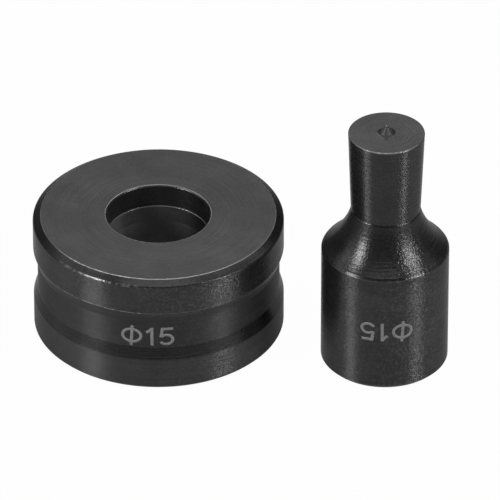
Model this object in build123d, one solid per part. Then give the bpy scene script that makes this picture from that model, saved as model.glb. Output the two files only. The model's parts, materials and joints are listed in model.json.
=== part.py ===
from build123d import *
import os
from math import sqrt

# Knockout punch set for one hole size: a grooved die ring and the stepped punch that goes with it.
#
# Both are turned steel pieces that stand on the bench beside each other, the punch with its tip up
# and the die with its slug mouth up, so that its cutting face is the one it stands on.
# Millimetres, +Z up. The origin is the centre of the die's cutting hole, on the cutting face.

# The hole that the pair cuts, and what lies between the two cutting edges
hole_diameter = 15.0
cutting_clearance = 0.2

# Die, outside
die_diameter = 49.8
die_height = 25.0
die_top_chamfer_width = 1.5
die_top_chamfer_drop = 1.0
die_base_break = 0.6

# Groove that the retaining screw bites into, between the die's two bearing bands
lower_band_height = 6.8
upper_band_height = 7.2
groove_depth = 0.85
groove_flank_height = 2.6

# Die, inside: cutting land, cone, relief and slug mouth
cutting_land_height = 6.0
relief_cone_height = 2.0
mouth_diameter = 20.4
mouth_depth = 4.8
mouth_edge_break = 0.25
mouth_ledge_width = 0.2

# Punch body
body_diameter = 25.2
body_height = 25.5
body_base_chamfer = 0.8
body_bevel_width = 0.35
body_bevel_height = 0.5

# Punch shoulder, a hollow curve from the body up to the neck
shoulder_height = 8.6
shoulder_hollow = 0.8

# Punch neck, relieved behind its cutting edge
neck_height = 17.5
neck_relief = 0.65

# Centring point in the middle of the tip face, a cone that flares out into a low skirt
point_height = 1.8
point_root_diameter = 2.5
point_skirt_diameter = 4.2
point_skirt_height = 0.4
point_skirt_hollow = 0.08
point_nose_diameter = 0.3

# How the two stand on the bench
bench_gap = 9.0
punch_front_lead = 0.25

# Worked out from the sizes above
die_radius = die_diameter / 2
groove_radius = die_radius - groove_depth
groove_top = die_height - upper_band_height
cutting_radius = hole_diameter / 2 + cutting_clearance
mouth_radius = mouth_diameter / 2
mouth_floor = die_height - mouth_depth
relief_radius = mouth_radius - mouth_ledge_width
relief_start = cutting_land_height + relief_cone_height
body_radius = body_diameter / 2
tip_radius = hole_diameter / 2
neck_root_radius = tip_radius - neck_relief
shoulder_base = body_height + body_bevel_height
neck_base = shoulder_base + shoulder_height
tip_height = neck_base + neck_height
punch_y = -(die_radius - body_radius + punch_front_lead)
punch_reach = die_radius + bench_gap + body_radius
punch_x = sqrt(punch_reach**2 - punch_y**2)


def make_die():
    """The ring: two bearing bands with the screw groove between them, and a stepped bore."""
    outside = [
        (cutting_radius, 0),
        (die_radius - die_base_break, 0),
        (die_radius, die_base_break),
        (die_radius, lower_band_height),
        (groove_radius, lower_band_height + groove_flank_height),
        (groove_radius, groove_top - groove_flank_height),
        (die_radius, groove_top),
        (die_radius, die_height - die_top_chamfer_drop),
        (die_radius - die_top_chamfer_width, die_height),
    ]
    inside = [
        (mouth_radius + mouth_edge_break, die_height),
        (mouth_radius, die_height - mouth_edge_break),
        (mouth_radius, mouth_floor),
        (relief_radius, mouth_floor),
        (relief_radius, relief_start),
        (cutting_radius, cutting_land_height),
    ]
    with BuildPart() as die:
        with BuildSketch(Plane.XZ):
            with BuildLine():
                Polyline(*outside, *inside, close=True)
            make_face()
        revolve(axis=Axis.Z)
    return die.part


def make_punch():
    """The punch: body, hollow shoulder, relieved neck, sharp flat tip and its centring point."""
    shoulder_start = (body_radius - body_bevel_width, shoulder_base)
    shoulder_end = (neck_root_radius, neck_base)
    body = [
        (0, 0),
        (body_radius - body_base_chamfer, 0),
        (body_radius, body_base_chamfer),
        (body_radius, body_height),
        shoulder_start,
    ]
    skirt_edge = (point_skirt_diameter / 2, tip_height)
    cone_root = (point_root_diameter / 2, tip_height + point_skirt_height)
    tip = [
        shoulder_end,
        (tip_radius, tip_height),
        skirt_edge,
    ]
    point = [
        cone_root,
        (point_nose_diameter / 2, tip_height + point_height),
        (0, tip_height + point_height),
        (0, 0),
    ]
    with BuildPart() as punch:
        with BuildSketch(Plane.XZ):
            with BuildLine():
                Polyline(*body)
                SagittaArc(shoulder_start, shoulder_end, shoulder_hollow)
                Polyline(*tip)
                SagittaArc(skirt_edge, cone_root, point_skirt_hollow)
                Polyline(*point)
            make_face()
        revolve(axis=Axis.Z)
    return Pos(punch_x, punch_y, 0) * punch.part


os.makedirs("parts", exist_ok=True)
die = make_die()
punch = make_punch()
export_step(die, "parts/die.step")
export_step(punch, "parts/punch.step")
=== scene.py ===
import json
from functools import partial
from math import cos, pi, radians, sin, tan

import bmesh
import bpy
from bpy.props import FloatProperty, IntProperty, PointerProperty, StringProperty
from mathutils import Matrix, Vector


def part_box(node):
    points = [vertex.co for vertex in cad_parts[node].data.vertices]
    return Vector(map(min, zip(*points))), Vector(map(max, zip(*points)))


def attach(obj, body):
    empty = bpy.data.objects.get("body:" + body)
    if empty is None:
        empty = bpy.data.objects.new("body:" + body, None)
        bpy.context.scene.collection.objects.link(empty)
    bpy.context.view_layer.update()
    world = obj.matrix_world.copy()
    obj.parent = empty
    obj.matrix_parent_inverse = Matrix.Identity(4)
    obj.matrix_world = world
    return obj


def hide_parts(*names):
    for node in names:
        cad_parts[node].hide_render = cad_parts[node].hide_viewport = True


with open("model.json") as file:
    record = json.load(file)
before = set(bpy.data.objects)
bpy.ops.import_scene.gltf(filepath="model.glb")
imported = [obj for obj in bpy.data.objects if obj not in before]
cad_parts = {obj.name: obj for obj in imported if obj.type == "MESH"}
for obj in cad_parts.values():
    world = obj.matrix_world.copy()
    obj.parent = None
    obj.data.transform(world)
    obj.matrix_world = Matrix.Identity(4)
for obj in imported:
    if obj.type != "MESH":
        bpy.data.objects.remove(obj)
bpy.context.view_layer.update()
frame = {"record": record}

bl_info = {
    "name": "Knockout Punch Set",
    "version": (1, 0, 0),
    "blender": (4, 5, 0),
    "location": "3D View > Sidebar > Punch Set",
    "description": "Dresses a turned punch and its die ring in black oxide steel",
    "category": "Object",
}

MM = 0.001
MOUNTS = {mount["name"]: mount for mount in frame["record"]["mounts"]}


def mount_size(name, key):
    """A mount's stated size, in metres."""
    return MOUNTS[name]["dims"][key] * MM


def node_axis(node):
    """The upright axis of a turned piece, as its x and y."""
    low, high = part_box(node)
    return (low.x + high.x) / 2, (low.y + high.y) / 2


DIE_LOW, DIE_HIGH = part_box("die")
DIE_RADIUS = (DIE_HIGH.x - DIE_LOW.x) / 2
DIE_AXIS = node_axis("die")
DIE_MOUTH = mount_size("slug_mouth", "r_mm")
PUNCH_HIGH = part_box("punch")[1]
PUNCH_RADIUS = mount_size("punch_body", "r_mm")
PUNCH_AXIS = node_axis("punch")


# Sizes and colours that a user would change

def length(name, description, default):
    """A length property with its default in millimetres."""
    return FloatProperty(name=name, description=description, default=default * MM, min=0.0,
                         precision=5, unit="LENGTH", subtype="DISTANCE")


class DieSettings(bpy.types.PropertyGroup):
    """Sizes of the die ring that the frame does not give by itself."""
    chamfer_width: length("Top chamfer width", "How far the top chamfer runs in from the rim", 1.5)
    chamfer_drop: length("Top chamfer drop", "How far the top chamfer runs down the rim", 1.0)
    base_break: length("Base edge break", "Small chamfer round the foot of the ring", 0.6)
    lower_band: length("Lower band height", "Height of the band under the screw groove", 6.8)
    groove_depth: length("Groove depth", "How deep the screw groove is", 0.85)
    flank_height: length("Groove flank height", "Height of each sloped side of the groove", 2.6)
    relief_cone: length("Relief cone height", "Height of the cone above the cutting land", 2.0)
    ledge_width: length("Ledge width", "Width of the ledge at the bottom of the mouth", 0.2)
    mouth_break: length("Mouth edge break", "Small chamfer round the slug mouth", 0.25)
    edge_round: length("Edge round", "Radius that stoning leaves on the ring's edges", 0.14)
    rim_round: length("Rim round", "Radius on the top chamfer's outer edge, twice its inner", 0.5)
    groove_round: length("Groove round", "Radius on the groove's edges, a quarter of its foot's",
                         0.35)


class PunchSettings(bpy.types.PropertyGroup):
    """Sizes of the punch that the frame does not give by itself."""
    base_chamfer: length("Base chamfer", "Chamfer round the foot of the punch", 0.8)
    bevel_width: length("Shoulder bevel width", "How far the bevel runs in over the body", 0.35)
    bevel_height: length("Shoulder bevel height", "Height of the bevel over the body", 0.5)
    shoulder_height: length("Shoulder height", "Height of the hollow shoulder", 8.6)
    shoulder_hollow: length("Shoulder hollow", "How deep the shoulder curves in", 0.8)
    neck_relief: length("Neck relief", "How much the neck narrows behind its edge", 0.65)
    tip_radius: length("Tip radius", "Radius of the cutting edge", 7.5)
    point_height: length("Point height", "Height of the centring point", 1.8)
    point_root: length("Point root radius", "Radius of the point's cone at its root", 1.25)
    point_skirt: length("Point skirt radius", "Radius of the low skirt round the point", 2.1)
    point_skirt_height: length("Point skirt height", "Height of the skirt's inner edge", 0.25)
    point_skirt_hollow: length("Point skirt hollow", "How deep the skirt curves in", 0.08)
    point_nose: length("Point nose radius", "Radius that the point is blunted to", 0.15)
    edge_round: length("Edge round", "Radius that stoning leaves on the punch's edges", 0.12)
    bevel_round: length("Bevel round", "Radius on the lower edge of the shoulder bevel", 0.4)
    cutting_round: length("Cutting edge round", "Radius that use leaves on the cutting edge", 0.16)
    runout: length("Tool run-out", "Depth of the line that the tool leaves under the neck", 0.14)


class MarkSettings(bpy.types.PropertyGroup):
    """The plain size number that is burnt into both pieces, a diameter sign and two digits."""
    digit_height: length("Digit height", "Height of the digits", 4.2)
    sign_height: length("Sign height", "Height of the bar through the diameter sign", 4.7)
    stroke: length("Stroke", "Width of the burnt line", 0.60)
    die_turn: FloatProperty(name="Turn on the die", description="Angle from the front",
                            default=radians(-4.7), subtype="ANGLE")
    die_middle: length("Height on the die", "Height of the number's middle line", 11.85)
    punch_turn: FloatProperty(name="Turn on the punch", description="Angle from the front",
                              default=radians(1.0), subtype="ANGLE")
    punch_middle: length("Height on the punch", "Height of the number's middle line", 13.6)
    proud: length("Proud", "How far the burnt skin stands off the steel", 0.006)
    sunk: length("Sunk", "How far the burn reaches into the steel", 0.05)


class FinishSettings(bpy.types.PropertyGroup):
    """Colours of the finishes, as sRGB hex values."""
    oxide: StringProperty(name="Black oxide", description="Colour of the oxide skin",
                          default="#373737")
    grazing: StringProperty(name="Oxide at a low angle", description="Tint of the skin's sheen",
                            default="#D0D0D0")
    # Thin oxide, also the colour that paints light into the bore and into some bands
    thin_oxide_and_lift_colour: StringProperty(name="Thin oxide", description="Where the skin is rubbed thin",
                               default="#6A6A6A")
    # Steel colour for chipped spots, also used for the painted glint along the edges
    bare_steel_and_glint: StringProperty(name="Bare steel", description="Rubbed edges", default="#BEBEBE")
    burnt: StringProperty(name="Burnt mark", description="Laser mark", default="#828282")
    floor: StringProperty(name="Floor", description="Studio floor", default="#C4C4C4")


class StageSettings(bpy.types.PropertyGroup):
    """Camera and floor."""
    pitch: FloatProperty(name="Camera pitch", description="How far the camera looks down",
                         default=radians(33.64), subtype="ANGLE")
    distance: length("Camera distance", "From the camera to its target", 1601.6)
    scale: FloatProperty(name="Picture scale", description="Picture points to a metre",
                         default=5035.0)
    target_x: length("Target x", "Where the camera aims, to the right", 18.17)
    target_z: length("Target z", "Where the camera aims, up", 16.32)
    floor_radius: length("Floor radius", "Radius of the studio floor", 6000.0)
    segments: IntProperty(name="Segments", description="Facets round a turned piece",
                          default=256)


GROUPS = {"punch_die": DieSettings, "punch_body": PunchSettings, "punch_mark": MarkSettings,
          "punch_finish": FinishSettings, "punch_stage": StageSettings}


# Small helpers

def linear(hex_colour):
    """A linear colour with alpha from an sRGB hex value."""
    parts = [int(hex_colour[i:i + 2], 16) / 255 for i in (1, 3, 5)]
    return [c / 12.92 if c <= 0.04045 else ((c + 0.055) / 1.055) ** 2.4 for c in parts] + [1.0]


def add_node(tree, kind, inputs=(), **settings):
    """Adds a node, sets it up and links or fills its inputs.

    Inputs are given by name, or in order, which counts the ones in use. A node that is given
    for an input stands for its first output in use.
    """
    node = tree.nodes.new(kind)
    for key, value in settings.items():
        setattr(node, key, value)
    if isinstance(inputs, dict):
        pairs = [(node.inputs[key], value) for key, value in inputs.items()]
    else:
        pairs = zip([socket for socket in node.inputs if socket.enabled], inputs)
    for socket, value in pairs:
        if isinstance(value, bpy.types.Node):
            value = next(output for output in value.outputs if output.enabled)
        if isinstance(value, bpy.types.NodeSocket):
            tree.links.new(value, socket)
        else:
            socket.default_value = value
    return node


# Kinds of node that stand in many places. A range takes a value, the two ends that it runs
# between, and what it becomes at each of them, and stays there beyond them
MATH = "ShaderNodeMath"
VECTOR_MATH = "ShaderNodeVectorMath"
RANGE = "ShaderNodeMapRange"
SPLIT = "ShaderNodeSeparateXYZ"
JOIN = "ShaderNodeCombineXYZ"
NOISE = "ShaderNodeTexNoise"
MIX_COLOUR = "ShaderNodeMix"
MIX_SHADER = "ShaderNodeMixShader"
BUMP = "ShaderNodeBump"


def new_object(name, data):
    """Puts a mesh, curve, lamp or camera in the scene as an object at the origin."""
    obj = bpy.data.objects.new(name, data)
    bpy.context.scene.collection.objects.link(obj)
    return obj


def new_tree(name, sockets, result):
    """A Geometry Nodes tree with named inputs, and the way to add a node to it."""
    tree = bpy.data.node_groups.new(name, "GeometryNodeTree")
    for key, kind in sockets:
        tree.interface.new_socket(key, in_out="INPUT", socket_type="NodeSocket" + kind)
    tree.interface.new_socket(result, in_out="OUTPUT", socket_type="NodeSocketGeometry")
    return tree, partial(add_node, tree)


def new_material(name):
    """A material without nodes, and the way to add a node to it."""
    material = bpy.data.materials.new(name)
    material.use_nodes = True
    material.node_tree.nodes.clear()
    return material, partial(add_node, material.node_tree)


def plain_mesh(source, tree, values):
    """What a Geometry Nodes tree makes of an object, as a mesh; the object goes."""
    modifier = source.modifiers.new(tree.name, "NODES")
    modifier.node_group = tree
    sockets = {item.name: item.identifier for item in tree.interface.items_tree
               if item.in_out == "INPUT"}
    for name, value in values.items():
        modifier[sockets[name]] = value
    graph = bpy.context.evaluated_depsgraph_get()
    mesh = bpy.data.meshes.new_from_object(source.evaluated_get(graph), depsgraph=graph,
                                           preserve_all_data_layers=True)
    source.modifiers.remove(modifier)
    bpy.data.objects.remove(source)
    return mesh


# Square metres under which a face counts as collapsed
NO_AREA = 1e-14


def closed_shell(name, mesh):
    """Turns a mesh's faces outwards, and stops if it is open."""
    shell = bmesh.new()
    shell.from_mesh(mesh)
    flat = [face for face in shell.faces if face.calc_area() < NO_AREA]
    bmesh.ops.delete(shell, geom=flat, context="FACES_ONLY")
    bmesh.ops.recalc_face_normals(shell, faces=shell.faces)
    if not shell.faces or any(not edge.is_manifold for edge in shell.edges):
        raise RuntimeError(name + " is not closed")
    shell.to_mesh(mesh)
    shell.free()
    mesh.name = name
    return new_object(name, mesh)


# Turned pieces: an outline with rounded corners, swept round by Geometry Nodes

# Steps in the arc of a rounded corner
ROUND_STEPS = 5
# Gap between an arc and the point that keeps the face beside it flat
SUPPORT = 0.06 * MM
# Most of an edge that the arc at one of its ends takes, and most that the gap takes
ARC_SHARE = 0.42
SUPPORT_SHARE = 0.05


def rounded(corners):
    """Outline points as (radius, height, shine, chips, run) from corners.

    A corner is (radius, height, round, shine, chips), and what it leaves out is 0. Each rounded
    corner becomes an arc with a point just outside it on either side, which keeps the long faces
    flat in the light. Shine says how bright a glint is painted all along the arc, which is partly
    wear; chips says how far it is worn to steel in spots. Run is the length along the outline.
    """
    points = []
    for i, corner in enumerate(corners):
        r, z, bend, shine, chips = (*corner, 0, 0, 0)[:5]
        here = Vector((r, z))
        if bend == 0:
            points.append((here, shine, chips))
            continue
        back = Vector(corners[i - 1][:2]) - here
        ahead = Vector(corners[i + 1][:2]) - here
        turn = pi - back.angle(ahead)
        reach = min(bend * tan(turn / 2), back.length * ARC_SHARE, ahead.length * ARC_SHARE)
        side = min(SUPPORT, back.length * SUPPORT_SHARE, ahead.length * SUPPORT_SHARE)
        back.normalize()
        ahead.normalize()
        start = here + back * reach
        end = here + ahead * reach
        points.append((here + back * (reach + side), 0, 0))
        for step in range(ROUND_STEPS + 1):
            t = step / ROUND_STEPS
            on_arc = start * (1 - t) ** 2 + here * 2 * t * (1 - t) + end * t * t
            points.append((on_arc, shine, chips))
        points.append((here + ahead * (reach + side), 0, 0))
    run = 0.0
    outline = []
    for i, (point, shine, chips) in enumerate(points):
        if i:
            run += (point - points[i - 1][0]).length
        outline.append((point.x, point.y, shine, chips, run))
    return outline


# Values that the outline carries, with their places in its points
OUTLINE_VALUES = {"shine": 2, "chips": 3, "run": 4}


def outline_mesh(name, outline):
    """The outline as a chain of points in the x-z plane, with its values."""
    mesh = bpy.data.meshes.new(name)
    chain = [(i, i + 1) for i in range(len(outline) - 1)]
    mesh.from_pydata([(point[0], 0, point[1]) for point in outline], chain, [])
    for key, column in OUTLINE_VALUES.items():
        layer = mesh.attributes.new(key, "FLOAT", "POINT")
        layer.data.foreach_set("value", [point[column] for point in outline])
    return mesh


def lathe_tree():
    """Geometry Nodes: sweeps an outline round the upright axis and welds seam and poles.

    The sweep is a grid with the outline along one side and the turn along the other. The turning
    map gives each point its share of the turn and its run along the outline.
    """
    tree, add = new_tree("Turned on a lathe", (
        ("Outline", "Geometry"), ("Segments", "Int"), ("Axis", "Vector"), ("Weld", "Float"),
        ("Finish", "Material")), "Turned")
    given = add("NodeGroupInput").outputs
    count = add("GeometryNodeAttributeDomainSize", (given["Outline"],))
    across = add(MATH, (given["Segments"], 1.0), operation="ADD")
    grid = add("GeometryNodeMeshGrid", {"Vertices X": across, "Vertices Y": count})
    index = add("GeometryNodeInputIndex")
    along = add(MATH, (index, count), operation="MODULO")
    line = add(MATH, (index, count), operation="DIVIDE")
    line = add(MATH, (line,), operation="FLOOR")
    share = add(MATH, (line, given["Segments"]), operation="DIVIDE")
    angle = add(MATH, (share, 2 * pi), operation="MULTIPLY")
    read = {}
    for key, kind in (("position", "FLOAT_VECTOR"), ("run", "FLOAT"), ("shine", "FLOAT"),
                      ("chips", "FLOAT")):
        value = add("GeometryNodeInputNamedAttribute", {"Name": key}, data_type=kind)
        read[key] = add("GeometryNodeSampleIndex", {"Geometry": given["Outline"],
                                                    "Value": value, "Index": along},
                        data_type=kind)
    turned = add("ShaderNodeVectorRotate", {"Vector": read["position"], "Angle": angle},
                 rotation_type="Z_AXIS")
    moved = add(VECTOR_MATH, (turned, given["Axis"]), operation="ADD")
    spread = add(JOIN, (share, read["run"]))
    kept = add("GeometryNodeCaptureAttribute", {"Geometry": grid})
    for name, kind, value in (("Spread", "VECTOR", spread), ("Shine", "FLOAT", read["shine"]),
                              ("Chips", "FLOAT", read["chips"]), ("Place", "VECTOR", moved)):
        kept.capture_items.new(kind, name)
        tree.links.new(value.outputs[0], kept.inputs[name])
    body = add("GeometryNodeSetPosition", {"Geometry": kept.outputs["Geometry"],
                                           "Position": kept.outputs["Place"]})
    for key, kind, domain, value in (("Turning", "FLOAT2", "CORNER", "Spread"),
                                     ("shine", "FLOAT", "POINT", "Shine"),
                                     ("chips", "FLOAT", "POINT", "Chips")):
        body = add("GeometryNodeStoreNamedAttribute",
                   {"Geometry": body, "Name": key, "Value": kept.outputs[value]},
                   data_type=kind, domain=domain)
    body = add("GeometryNodeMergeByDistance", {"Geometry": body, "Distance": given["Weld"]})
    body = add("GeometryNodeSetShadeSmooth", {"Geometry": body})
    body = add("GeometryNodeRealizeInstances", {"Geometry": body})
    body = add("GeometryNodeSetMaterial", {"Geometry": body, "Material": given["Finish"]})
    add("NodeGroupOutput", {"Turned": body})
    return tree


# Distance within which seam and poles are welded
WELD = 0.001 * MM


def turned_piece(name, corners, axis, finish):
    """A closed turned piece from its outline's corners, as a plain mesh at the origin."""
    tree = bpy.data.node_groups.get("Turned on a lathe") or lathe_tree()
    source = new_object(name + "_outline", outline_mesh(name + "_outline", rounded(corners)))
    mesh = plain_mesh(source, tree, {
        "Segments": bpy.context.scene.punch_stage.segments, "Axis": (*axis, 0.0), "Weld": WELD,
        "Finish": finish})
    return closed_shell(name, mesh)


def die_corners():
    """The die's section, counter-clockwise from the cutting land: outside, top, then the bore."""
    die = bpy.context.scene.punch_die
    top = DIE_HIGH.z
    rim = DIE_RADIUS
    groove = rim - die.groove_depth
    rim_foot = top - die.chamfer_drop
    groove_top = rim_foot - mount_size("die_seat_band", "length_mm")
    cut = mount_size("cutting_bore", "r_mm")
    land = mount_size("cutting_bore", "length_mm")
    mouth_floor = top - die.mouth_break - mount_size("slug_mouth", "length_mm")
    relief = DIE_MOUTH - die.ledge_width
    soft = die.edge_round
    rim_soft = die.rim_round
    groove_soft = die.groove_round
    # The fourth value of a corner paints a glint along its arc, which is partly wear, and is
    # brightest on the ledge at the foot of the mouth; the fifth gives its chips
    return [
        (cut, land / 2),
        (cut, 0, soft / 3, 0.2),
        (rim - die.base_break, 0, soft, 0.05),
        (rim, die.base_break, soft * 2, 0.03),
        (rim, die.lower_band, groove_soft),
        (groove, die.lower_band + die.flank_height, groove_soft * 4),
        (groove, groove_top - die.flank_height, groove_soft * 4),
        (rim, groove_top, groove_soft, 0.1, 0.5),
        (rim, rim_foot, rim_soft, 0, 0.3),
        (rim - die.chamfer_width, top, rim_soft / 2, 0.5, 0.5),
        (DIE_MOUTH + die.mouth_break, top, soft * 2, 0.3, 0.5),
        (DIE_MOUTH, top - die.mouth_break, soft, 0.1, 0.3),
        (DIE_MOUTH, mouth_floor, soft / 2),
        (relief, mouth_floor, soft, 0.7, 0.3),
        (relief, land + die.relief_cone, soft),
        (cut, land, soft),
        (cut, land / 2),
    ]


# Steps along the two hollow parts of the punch's outline
SHOULDER_STEPS = 28
SKIRT_STEPS = 6


def hollow(start, end, depth, steps):
    """The points between two outline points, along an arc that curves in by this depth."""
    start = Vector(start)
    chord = Vector(end) - start
    inward = Vector((-chord.y, chord.x)).normalized()
    points = []
    for i in range(1, steps):
        t = i / steps
        bow = 4 * depth * t * (1 - t)
        point = start + chord * t + inward * bow
        points.append((point.x, point.y))
    return points


def punch_corners():
    """The punch's section from the middle of its foot, up the outside, to its point."""
    punch = bpy.context.scene.punch_body
    body = PUNCH_RADIUS
    shoulder = punch.base_chamfer + mount_size("punch_body", "length_mm")
    tip = PUNCH_HIGH.z - punch.point_height
    start = (body - punch.bevel_width, shoulder + punch.bevel_height)
    neck_radius = punch.tip_radius - punch.neck_relief
    neck_foot = start[1] + punch.shoulder_height
    skirt = (punch.point_skirt, tip)
    root = (punch.point_root, tip + punch.point_skirt_height)
    soft = punch.edge_round
    # The fourth value of a corner paints a glint along its arc, which is partly wear, and the
    # point's nose has a full painted glint; the fifth gives its chips
    return [
        (0, 0),
        (body - punch.base_chamfer, 0, soft, 0.05),
        (body, punch.base_chamfer, soft * 2, 0.06),
        (body, shoulder, punch.bevel_round, 0.08),
        (*start, soft),
        *hollow(start, (neck_radius, neck_foot), punch.shoulder_hollow, SHOULDER_STEPS),
        (neck_radius, neck_foot),
        (neck_radius - punch.runout, neck_foot + punch.runout, soft / 2),
        (neck_radius + punch.runout / 8, neck_foot + 2 * punch.runout, soft / 2),
        (punch.tip_radius, tip, punch.cutting_round, 0.3, 0.6),
        (*skirt, soft / 2),
        *hollow(skirt, root, punch.point_skirt_hollow, SKIRT_STEPS),
        (*root, soft / 2),
        (punch.point_nose, PUNCH_HIGH.z - punch.point_nose / 4, soft, 1),
        (0, PUNCH_HIGH.z, 0, 1),
    ]


# Black oxide. Places round a piece are shares of a turn: the front, the side where the tool tore
# the steel, and where the die's edges are worn

FRONT_TURN = 0.75
TORN_TURN = 0.835
DIE_WORN_TURN = 0.67

# Heights at which the skin changes: the die's upper band, the punch's shoulder, neck and tip,
# and one that takes in a piece's foot
UPPER_BAND_SKIN = 17 * MM
SHOULDER_SKIN = 22 * MM
NECK_SKIN = 34 * MM
TIP_SKIN = 51 * MM
UNDER_FOOT = -1 * MM

# The tool's feed marks are about 0.15 mm apart, drawn at 0.6 mm so that they show
FEED_MARK = 0.6 * MM
# The flecks where the tool tore the steel are about 0.1 mm, drawn at 0.55 mm
FLECK = 0.55 * MM
# The crystals of the oxide skin are about 0.02 mm, drawn at 0.4 mm
CRYSTAL = 0.4 * MM
# Clouds left by the salt bath
CLOUD = 6 * MM
# Patches in which an edge is rubbed bare
PATCH = 0.7 * MM

# How deep the feed marks are on the walls and on the flat ends, and the flecks at most
MARK_DEPTH = 0.08 * MM
MARK_DEPTH_FLAT = 0.03 * MM
FLECK_DEPTH = 0.08 * MM

# How far a band of skin fades at its edges
BAND_EDGE = 0.4 * MM
# How metallic the skin is on the whole piece, and in the bore, where it is made duller and painted
# lighter to stand for the light in the bore
SKIN_METAL = 0.8
BORE_PAINTED_METAL = 0.35
RELIEF_TOP = MOUNTS["slug_mouth"]["pos_m"][2] - mount_size("slug_mouth", "length_mm")


def product(add, ranges):
    """The product of several ranges."""
    result = 1.0
    for one in ranges:
        result = add(MATH, (result, add(RANGE, one)), operation="MULTIPLY")
    return result


def turn_from(add, share, middle):
    """How far round the piece a place is from one side, as a share of a turn."""
    return add(MATH, (add(MATH, (share, middle), operation="SUBTRACT"),), operation="ABSOLUTE")


def skin_patterns(add, place, share, run, girth, seed):
    """Noise for the skin's feed marks, flecks, crystals, clouds and patches, in that order."""
    angle = add(MATH, (share, 2 * pi), operation="MULTIPLY")
    cosine = add(MATH, (angle,), operation="COSINE")
    sine = add(MATH, (angle,), operation="SINE")

    def on_skin(radius, size):
        """A place for noise that goes round without a seam, and steps by this size along.

        The radius sets how fast the noise changes round the piece: at 1 it makes whole rings.
        """
        right = add(MATH, (cosine, radius), operation="MULTIPLY")
        back = add(MATH, (sine, radius), operation="MULTIPLY")
        along = add(MATH, (run, 1 / size, seed), operation="MULTIPLY_ADD")
        return add(JOIN, (right, back, along))

    return [
        add(NOISE, {"Vector": where, "Scale": scale, "Detail": detail, "Roughness": rough})
        for where, scale, detail, rough in (
            (on_skin(1.0, FEED_MARK), 1.0, 3.0, 0.6),
            (on_skin(girth / FLECK, FLECK), 1.0, 2.0, 0.6),
            (place, 1 / CRYSTAL, 2.0, 0.7),
            (place, 1 / CLOUD, 4.0, 0.6),
            (place, 1 / PATCH, 4.0, 0.7))]


def bore_glint_and_lift(add, place, height, share, bore):
    """How far the mouth's edge has a painted glint all the way round, which is partly wear, and
    how far the bore is painted lighter, most below the ledge and on its left, as painted light.
    """
    flat = add(VECTOR_MATH, (place, (1.0, 1.0, 0.0)), operation="MULTIPLY")
    radius = add(VECTOR_MATH, (flat,), operation="LENGTH")
    edge = add(RANGE, (radius, bore + MM, bore + 2 * MM, 1.0, 0.0))
    bore_lift = product(add, (
        (radius, bore, bore + 0.1 * MM, 1.0, 0.0),
        (height, RELIEF_TOP, RELIEF_TOP + 0.2 * MM, 1.0, 0.15)))
    # A painted highlight patch on the bore's wall, brightest from its back-left round to the front
    bore_highlight_patch = add(MATH, (add(RANGE, (share, 0.1, 0.25, 0.0, 0.65)),
                       add(RANGE, (share, 0.36, 0.42, 0.0, 0.6))), operation="ADD")
    return edge, add(MATH, (bore_lift, bore_highlight_patch), operation="MULTIPLY")


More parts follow.
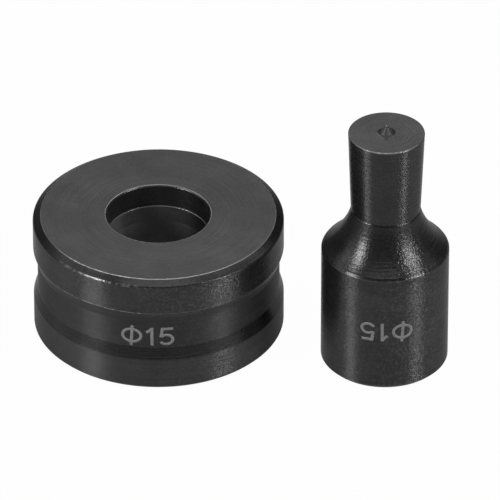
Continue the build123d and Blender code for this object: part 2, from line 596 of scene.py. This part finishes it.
def oxide_finish(name, seed, girth, worn_turn, coarse_band, bands, bore=0.0):
    """Black oxide on turned tool steel.

    The skin is nearly black and keeps the lathe's fine rings, which pull every highlight out
    along the piece and break it into flecks. Edges show specks of steel, most of all on the worn
    side, and a painted glint that is partly wear, most of all at the front. A bore is painted
    lighter and duller, most of all below its ledge and on its left, to stand for the light in it.

    Seed sets the pattern apart from the other piece's, and girth is the radius that the flecks
    go round. The edges are chipped most at worn_turn. The flecks are strongest between the two
    heights of coarse_band. Each of the bands is (low, high, duller, painted light), with what it
    adds to the roughness between two heights, and how far it paints the colour lighter there, or
    darker below 0, to stand for how the lamps light it. Bore is the radius of an open bore, or 0.
    """
    finish = bpy.context.scene.punch_finish
    material, add = new_material(name)
    place = add("ShaderNodeTexCoord").outputs["Object"]
    height = add(SPLIT, (place,)).outputs["Z"]
    normal = add("ShaderNodeNewGeometry").outputs["Normal"]
    lift = add(SPLIT, (normal,)).outputs["Z"]
    turning = add("ShaderNodeUVMap", uv_map="Turning")
    share, run, _ = add(SPLIT, (turning,)).outputs
    shine = add("ShaderNodeAttribute", attribute_name="shine").outputs["Fac"]
    chips = add("ShaderNodeAttribute", attribute_name="chips").outputs["Fac"]
    rings, flecks, crystals, clouds, patches = skin_patterns(add, place, share, run, girth, seed)

    # The flecks are faint outside their band, on the flat ends and away from the torn side
    coarse_low, coarse_high = coarse_band
    coarse = product(add, (
        (height, coarse_low, coarse_low + MM, 0.4, 1.0),
        (height, coarse_high, coarse_high + MM, 1.0, 0.4),
        (lift, 0.75, 0.9, 1.0, 0.15),
        (turn_from(add, share, TORN_TURN), 0.05, 0.12, 1.0, 0.4)))

    # Edges are chipped most on the worn side. Their shine is a painted glint, strongest at the
    # front, that is partly wear
    worn = add(RANGE, (turn_from(add, share, worn_turn), 0.04, 0.12, 0.08, -0.2))
    worn = add(MATH, (patches, worn), operation="ADD")
    chipped = add(RANGE, (worn, 0.52, 0.7, 0.0, 1.0))
    glint_mask = add(RANGE, (turn_from(add, share, FRONT_TURN), 0.08, 0.16, 1.0, 0.25))
    if bore:
        edge, bore_lift = bore_glint_and_lift(add, place, height, share, bore)
        glint_mask = add(MATH, (glint_mask, edge), operation="MAXIMUM")
    even_glint = add(MATH, (shine, glint_mask), operation="MULTIPLY")
    wear_and_glint = add(MATH, (chips, chipped, even_glint), operation="MULTIPLY_ADD")

    # The oxide is thin in the flecks, the clouds and the rings. The bands then paint light and
    # shade into it by height
    thin = add(MATH, (add(RANGE, (flecks, 0.45, 0.7, 0.0, 0.36)), coarse), operation="MULTIPLY")
    for one in ((clouds, 0.35, 0.7, 0.0, 0.1), (rings, 0.4, 0.7, 0.0, 0.06)):
        thin = add(MATH, (thin, add(RANGE, one)), operation="ADD")
    rough = add(RANGE, (crystals, 0.3, 0.7, 0.27, 0.33))
    for low, high, duller, painted_light in bands:
        there = product(add, ((height, low, low + BAND_EDGE, 0.0, 1.0),
                              (height, high - BAND_EDGE, high, 1.0, 0.0)))
        rough = add(MATH, (there, duller, rough), operation="MULTIPLY_ADD")
        thin = add(MATH, (there, painted_light, thin), operation="MULTIPLY_ADD")
    colour = add(MIX_COLOUR, (thin, linear(finish.oxide), linear(finish.thin_oxide_and_lift_colour)),
                 data_type="RGBA")
    # Steel colour in the chips, and a painted glint along the edges' arcs
    colour = add(MIX_COLOUR, (wear_and_glint, colour, linear(finish.bare_steel_and_glint)), data_type="RGBA")
    metal = SKIN_METAL
    # The bore is painted lighter and less metallic, to stand for the light in it
    if bore:
        colour = add(MIX_COLOUR, (bore_lift, colour, linear(finish.thin_oxide_and_lift_colour)), data_type="RGBA")
        metal = add(RANGE, (bore_lift, 0.0, 1.0, SKIN_METAL, BORE_PAINTED_METAL))

    mark_depth = add(RANGE, (lift, 0.75, 0.9, MARK_DEPTH, MARK_DEPTH_FLAT))
    bump = add(BUMP, {"Height": rings, "Strength": 1.0, "Distance": mark_depth})
    fleck_depth = add(MATH, (coarse, FLECK_DEPTH), operation="MULTIPLY")
    bump = add(BUMP, {"Height": flecks, "Strength": 1.0, "Distance": fleck_depth, "Normal": bump})
    tangent = add("ShaderNodeTangent", direction_type="UV_MAP", uv_map="Turning")
    # A quarter turn lays the sheen across the rings
    shader = add("ShaderNodeBsdfPrincipled", {
        "Base Color": colour, "Metallic": metal, "Roughness": rough, "Anisotropic": 0.72,
        "Anisotropic Rotation": 0.25, "Specular Tint": linear(finish.grazing),
        "Tangent": tangent, "Normal": bump})
    add("ShaderNodeOutputMaterial", {"Surface": shader})
    return material


# The laser's passes are about 0.05 mm apart, drawn at 0.5 mm so that they show
LASER_SPOT = 0.5 * MM


def burnt_finish():
    """Laser mark on black oxide: the burn turns the skin to a matt light grey scale."""
    finish = bpy.context.scene.punch_finish
    material, add = new_material("Laser burnt steel")
    place = add("ShaderNodeTexCoord").outputs["Object"]
    spots = add(NOISE, {"Vector": place, "Scale": 1 / LASER_SPOT, "Detail": 3.0})
    thin = add(RANGE, (spots, 0.3, 0.7, 0.0, 0.7))
    colour = add(MIX_COLOUR, (thin, linear(finish.burnt), linear(finish.thin_oxide_and_lift_colour)),
                 data_type="RGBA")
    bump = add(BUMP, {"Height": spots, "Strength": 0.3, "Distance": 0.01 * MM})
    shader = add("ShaderNodeBsdfPrincipled",
                 {"Base Color": colour, "Metallic": 0.0, "Roughness": 0.6, "Normal": bump})
    add("ShaderNodeOutputMaterial", {"Surface": shader})
    return material


# How much of the floor is its own white light, as the camera sees it and as the steel mirrors it
FLOOR_GLOW = 0.98
MIRRORED_GLOW = 0.29
# Slow waves of the cast sheet
SHEET_WAVE = 2 * MM


def floor_finish():
    """White acrylic sheet with a satin skin: it throws the softboxes up at the steel's walls.

    Its gloss is set stronger than real acrylic's, because the walls mirror little else.
    """
    white = linear(bpy.context.scene.punch_finish.floor)
    material, add = new_material("White acrylic sheet, satin")
    path = add("ShaderNodeLightPath").outputs
    seen = path["Is Camera Ray"]
    mirrored = add(MATH, (path["Is Glossy Ray"], path["Is Transmission Ray"]),
                   operation="MAXIMUM")
    mirrored = add(MATH, (mirrored, MIRRORED_GLOW), operation="MULTIPLY")
    glowing = add(MATH, (seen, FLOOR_GLOW, mirrored), operation="MULTIPLY_ADD")
    place = add("ShaderNodeTexCoord").outputs["Object"]
    waves = add(NOISE, {"Vector": place, "Scale": 1 / SHEET_WAVE, "Detail": 2.0})
    bump = add(BUMP, {"Height": waves, "Strength": 0.05, "Distance": 0.05 * MM})
    sheet = add("ShaderNodeBsdfPrincipled", {"Base Color": white, "Roughness": 0.23, "IOR": 2.2,
                                             "Specular IOR Level": 0.75, "Normal": bump})
    # The camera sees the sheet matt, so that no lamp is mirrored beside the pieces
    matt = add("ShaderNodeBsdfDiffuse", {"Color": white})
    ground = add(MIX_SHADER, (seen, sheet, matt))
    glow = add("ShaderNodeEmission", {"Strength": 1.0})
    lit = add(MIX_SHADER, (glowing, ground, glow))
    # Its underside is clear, so that the feet of the pieces can be looked at
    clear = add("ShaderNodeBsdfTransparent")
    under = add("ShaderNodeNewGeometry").outputs["Backfacing"]
    sided = add(MIX_SHADER, (under, lit, clear))
    add("ShaderNodeOutputMaterial", {"Surface": sided})
    return material


# Size number: strokes of one width, welded together and wrapped round the steel. Its sizes are
# in digit heights, from the sign's left end and the digits' foot

SIGN_WIDTH = 1.02
ONE_WIDTH = 0.33
FIVE_WIDTH = 0.70
SIGN_GAP = 0.19
DIGIT_GAP = 0.28
NUMBER_WIDTH = SIGN_WIDTH + SIGN_GAP + ONE_WIDTH + DIGIT_GAP + FIVE_WIDTH
# Half the height of the sign's ring, and how far the ends of its bar lean
RING_RISE = 0.42
BAR_LEAN = 0.03
# Where the one's flag starts
FLAG_FOOT = 0.70
# How far the five's top bar keeps from its sides, and the two ends of its back
TOP_LEFT = 0.10
TOP_RIGHT = 0.06
BACK = ((0.15, 1), (0.075, 0.47))
# The five's bowl: its middle as a share of the width, its middle's height, and its two ends
BOWL_MIDDLE = 0.46
BOWL_RISE = 0.33
BOWL_START = radians(142)
BOWL_END = radians(-152)
OVAL_STEPS = 28


def oval(middle, width, height, start, end):
    """Points along part of an oval, from one angle to another."""
    turns = [start + (end - start) * i / OVAL_STEPS for i in range(OVAL_STEPS + 1)]
    return [(middle[0] + width * cos(a), middle[1] + height * sin(a)) for a in turns]


def number_strokes():
    """Middle lines of the strokes: the sign's closed ring, and the open ones."""
    mark = bpy.context.scene.punch_mark
    half = mark.stroke / mark.digit_height / 2
    reach = mark.sign_height / mark.digit_height / 2
    middle = SIGN_WIDTH / 2
    ring = oval((middle, 0.5), middle - half, RING_RISE - half, 0, 2 * pi)[:-1]
    bar = [(middle - BAR_LEAN, 0.5 - reach), (middle + BAR_LEAN, 0.5 + reach)]
    one = SIGN_WIDTH + SIGN_GAP
    stem_x = one + ONE_WIDTH - half
    stem = [(stem_x, 0), (stem_x, 1)]
    flag = [(one, FLAG_FOOT), (stem_x, 1 - half)]
    five = one + ONE_WIDTH + DIGIT_GAP
    top = [(five + TOP_LEFT, 1 - half), (five + FIVE_WIDTH - TOP_RIGHT, 1 - half)]
    back = [(five + x, y) for x, y in BACK]
    bowl = oval((five + FIVE_WIDTH * BOWL_MIDDLE, BOWL_RISE),
                FIVE_WIDTH * (1 - BOWL_MIDDLE) - half, BOWL_RISE - half, BOWL_START, BOWL_END)
    return ring, (bar, stem, flag, top, back, bowl)


def number_tree():
    """Geometry Nodes: gives the strokes width and depth, welds them and wraps them.

    Way is 1 for a number that stands upright and -1 for one that is upside down.
    """
    tree, add = new_tree("Burnt number", (
        ("Strokes", "Geometry"), ("Stroke", "Float"), ("Proud", "Float"), ("Sunk", "Float"),
        ("Step", "Float"), ("Radius", "Float"), ("Turn", "Float"), ("Way", "Float"),
        ("Place", "Vector"), ("Finish", "Material")), "Number")
    given = add("NodeGroupInput").outputs
    even = add("GeometryNodeResampleCurve", {"Curve": given["Strokes"], "Length": given["Step"]},
               mode="LENGTH")
    level = add("GeometryNodeSetCurveNormal", {"Curve": even}, mode="Z_UP")
    depth = add(MATH, (given["Proud"], given["Sunk"]), operation="ADD")
    nib = add("GeometryNodeCurvePrimitiveQuadrilateral",
              {"Width": given["Stroke"], "Height": depth})
    solid = add("GeometryNodeCurveToMesh",
                {"Curve": level, "Profile Curve": nib, "Fill Caps": True})
    whole = add("GeometryNodeMeshBoolean", {"Mesh 2": solid, "Self Intersection": True},
                operation="UNION", solver="EXACT")
    across, up, out = add(SPLIT, (add("GeometryNodeInputPosition"),)).outputs
    place_x, place_y, place_z = add(SPLIT, (given["Place"],)).outputs
    middle = add(MATH, (given["Proud"], given["Sunk"]), operation="SUBTRACT")
    middle = add(MATH, (middle, 2.0), operation="DIVIDE")
    reach = add(MATH, (given["Radius"], out), operation="ADD")
    reach = add(MATH, (reach, middle), operation="ADD")
    along = add(MATH, (across, given["Way"]), operation="MULTIPLY")
    along = add(MATH, (along, given["Radius"]), operation="DIVIDE")
    angle = add(MATH, (given["Turn"], along), operation="ADD")
    right = add(MATH, (reach, add(MATH, (angle,), operation="SINE")), operation="MULTIPLY")
    front = add(MATH, (reach, add(MATH, (angle,), operation="COSINE")), operation="MULTIPLY")
    rise = add(MATH, (up, given["Way"]), operation="MULTIPLY")
    where = add(JOIN, (add(MATH, (place_x, right), operation="ADD"),
                       add(MATH, (place_y, front), operation="SUBTRACT"),
                       add(MATH, (place_z, rise), operation="ADD")))
    body = add("GeometryNodeSetPosition", {"Geometry": whole, "Position": where})
    body = add("GeometryNodeRealizeInstances", {"Geometry": body})
    body = add("GeometryNodeSetMaterial", {"Geometry": body, "Material": given["Finish"]})
    add("NodeGroupOutput", {"Number": body})
    return tree


def number_piece(name, radius, axis, turn, middle, way, finish):
    """The size number as a thin burnt skin wrapped round a turned piece."""
    mark = bpy.context.scene.punch_mark
    curve = bpy.data.curves.new(name + "_strokes", "CURVE")
    curve.dimensions = "2D"
    ring, lines = number_strokes()
    for points in (ring, *lines):
        spline = curve.splines.new("POLY")
        spline.points.add(len(points) - 1)
        for point, (x, y) in zip(spline.points, points):
            point.co = ((x - NUMBER_WIDTH / 2) * mark.digit_height,
                        (y - 0.5) * mark.digit_height, 0, 1)
        spline.use_cyclic_u = points is ring
    tree = bpy.data.node_groups.get("Burnt number") or number_tree()
    mesh = plain_mesh(new_object(name + "_strokes", curve), tree, {
        "Stroke": mark.stroke, "Proud": mark.proud, "Sunk": mark.sunk, "Step": mark.stroke / 2,
        "Radius": radius, "Turn": turn, "Way": way, "Place": (*axis, middle),
        "Finish": finish})
    return closed_shell(name, mesh)


# Stage

# In picture points, and in millimetres as Blender takes it
IMAGE_WIDTH = 500
SENSOR_WIDTH = 36.0
# How far the floor lies under the feet of the pieces
FLOOR_GAP = 0.02 * MM
FLOOR_SIDES = 96
ROOM_COLOUR = "#FFFFFF"
ROOM_STRENGTH = 0.02
# Each lamp's name, turn from the front, rise, distance, width and height in metres, and watts
LAMPS = (
    ("left softbox", radians(-61), radians(30), 0.9, 0.22, 0.25, 4.7),
    ("left fill", radians(-90), radians(28), 0.9, 0.3, 0.4, 0.6),
    ("left high fill", radians(-120), radians(48), 0.9, 0.3, 0.3, 0.4),
    ("right softbox", radians(60), radians(33), 0.9, 0.13, 0.24, 4.2),
    ("right fill", radians(90), radians(28), 0.9, 0.3, 0.4, 0.2),
    ("right high fill", radians(120), radians(48), 0.9, 0.3, 0.3, 0.4),
    ("back softbox", radians(180), radians(47), 1.0, 0.6, 0.5, 2.6),
    ("top strip", radians(0), radians(80), 1.0, 0.7, 0.6, 2.2),
)


def lay_floor(radius):
    """A round sheet just under the feet of the pieces."""
    shell = bmesh.new()
    bmesh.ops.create_circle(shell, cap_ends=True, segments=FLOOR_SIDES, radius=radius,
                            matrix=Matrix.Translation((0, 0, -FLOOR_GAP)))
    mesh = bpy.data.meshes.new("studio_floor")
    shell.to_mesh(mesh)
    shell.free()
    floor = new_object("studio_floor", mesh)
    mesh.materials.append(floor_finish())


def hang_lamps(target):
    """Soft lamps round the pieces, aimed at the camera's target."""
    for name, turn, rise, away, wide, tall, power in LAMPS:
        light = bpy.data.lights.new(name, "AREA")
        light.shape = "RECTANGLE"
        light.size = wide
        light.size_y = tall
        light.energy = power
        lamp = new_object(name, light)
        aim = Vector((sin(turn) * cos(rise), -cos(turn) * cos(rise), sin(rise)))
        lamp.location = target + aim * away
        lamp.rotation_euler = aim.to_track_quat("Z", "Y").to_euler()


def fill_room():
    """A room that the camera sees white, and that is nearly dark to the steel, like a studio."""
    world = bpy.data.worlds.new("Studio room")
    world.use_nodes = True
    tree = world.node_tree
    seen = add_node(tree, "ShaderNodeLightPath").outputs["Is Camera Ray"]
    level = add_node(tree, RANGE, {"Value": seen, "To Min": ROOM_STRENGTH})
    room = tree.nodes["Background"]
    room.inputs["Color"].default_value = linear(ROOM_COLOUR)
    tree.links.new(level.outputs[0], room.inputs["Strength"])
    bpy.context.scene.world = world


def set_camera(stage, target):
    """A long lens that looks down at the target from the front."""
    lens = bpy.data.cameras.new("Camera")
    lens.sensor_width = SENSOR_WIDTH
    lens.lens = stage.scale * stage.distance * SENSOR_WIDTH / IMAGE_WIDTH
    lens.clip_start = 0.01
    lens.clip_end = 100.0
    camera = new_object("Camera", lens)
    back = Vector((0, -cos(stage.pitch), sin(stage.pitch)))
    camera.location = target + back * stage.distance
    camera.rotation_euler = (pi / 2 - stage.pitch, 0, 0)
    bpy.context.scene.camera = camera


# Operators

class PUNCHSET_OT_die(bpy.types.Operator):
    """Turn the die ring and put it in place of the plain one"""
    bl_idname = "punchset.die"
    bl_label = "Die Ring"

    def execute(self, context):
        die = context.scene.punch_die
        flank_top = die.lower_band + die.flank_height
        # The lower band and the groove are made duller; the lower band is painted lighter and the
        # groove's lower flank darker, as painted light and shade
        bands = (
            (UNDER_FOOT, die.lower_band, 0.1, 0.1),
            (die.lower_band, flank_top, -0.05, -0.03),
            (flank_top, UPPER_BAND_SKIN, 0.14, 0.0),
        )
        finish = oxide_finish("Black oxide on turned steel, die", seed=1.7, girth=DIE_RADIUS,
                              worn_turn=DIE_WORN_TURN, bands=bands, bore=DIE_MOUTH,
                              coarse_band=(UPPER_BAND_SKIN, DIE_HIGH.z))
        piece = turned_piece("die_ring", die_corners(), DIE_AXIS, finish)
        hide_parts("die")
        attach(piece, "root")
        return {"FINISHED"}


class PUNCHSET_OT_punch(bpy.types.Operator):
    """Turn the punch and put it in place of the plain one"""
    bl_idname = "punchset.punch"
    bl_label = "Punch"

    def execute(self, context):
        tip = PUNCH_HIGH.z - context.scene.punch_body.point_height
        # The shoulder and the neck are painted darker, as painted shade, and the point is made
        # duller and painted lighter, as painted light
        bands = (
            (SHOULDER_SKIN, NECK_SKIN, 0.0, -0.05),
            (NECK_SKIN, TIP_SKIN, -0.02, -0.04),
            (tip + 0.02 * MM, PUNCH_HIGH.z + MM, 0.3, 0.5),
        )
        finish = oxide_finish("Black oxide on turned steel, punch", seed=5.3,
                              girth=PUNCH_RADIUS, worn_turn=FRONT_TURN, bands=bands,
                              coarse_band=(UNDER_FOOT, NECK_SKIN))
        piece = turned_piece("stepped_punch", punch_corners(), PUNCH_AXIS, finish)
        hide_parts("punch")
        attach(piece, "root")
        return {"FINISHED"}


class PUNCHSET_OT_marks(bpy.types.Operator):
    """Burn the plain size number into the groove of the die and the body of the punch"""
    bl_idname = "punchset.marks"
    bl_label = "Size Numbers"

    def execute(self, context):
        mark = context.scene.punch_mark
        groove = DIE_RADIUS - context.scene.punch_die.groove_depth
        burnt = burnt_finish()
        pieces = (
            ("die_size_number", "die_steel", groove, DIE_AXIS, mark.die_turn,
             mark.die_middle, 1.0),
            ("punch_size_number", "punch_steel", PUNCH_RADIUS, PUNCH_AXIS, mark.punch_turn,
             mark.punch_middle, -1.0),
        )
        for name, slot, radius, axis, turn, middle, way in pieces:
            piece = number_piece(name, radius, axis, turn, middle, way, burnt)
            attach(piece, "root")
        return {"FINISHED"}


class PUNCHSET_OT_stage(bpy.types.Operator):
    """Set up the white floor, the soft lamps and the camera"""
    bl_idname = "punchset.stage"
    bl_label = "Stage"

    def execute(self, context):
        stage = context.scene.punch_stage
        target = Vector((stage.target_x, 0, stage.target_z))
        lay_floor(stage.floor_radius)
        hang_lamps(target)
        fill_room()
        set_camera(stage, target)
        context.scene.view_settings.view_transform = "Standard"
        return {"FINISHED"}


class PUNCHSET_PT_panel(bpy.types.Panel):
    """Lists the operators in the order in which they run"""
    bl_label = "Punch Set"
    bl_idname = "PUNCHSET_PT_panel"
    bl_space_type = "VIEW_3D"
    bl_region_type = "UI"
    bl_category = "Punch Set"

    def draw(self, context):
        for operator in OPERATORS:
            self.layout.operator(operator.bl_idname)


OPERATORS = (PUNCHSET_OT_stage, PUNCHSET_OT_die, PUNCHSET_OT_punch, PUNCHSET_OT_marks)
CLASSES = (*GROUPS.values(), *OPERATORS, PUNCHSET_PT_panel)


def register():
    for cls in CLASSES:
        bpy.utils.register_class(cls)
    for name, group in GROUPS.items():
        setattr(bpy.types.Scene, name, PointerProperty(type=group))


def unregister():
    for name in GROUPS:
        delattr(bpy.types.Scene, name)
    for cls in reversed(CLASSES):
        bpy.utils.unregister_class(cls)


def main():
    register()
    bpy.ops.punchset.stage()
    bpy.ops.punchset.die()
    bpy.ops.punchset.punch()
    bpy.ops.punchset.marks()


if __name__ == "__main__":
    main()
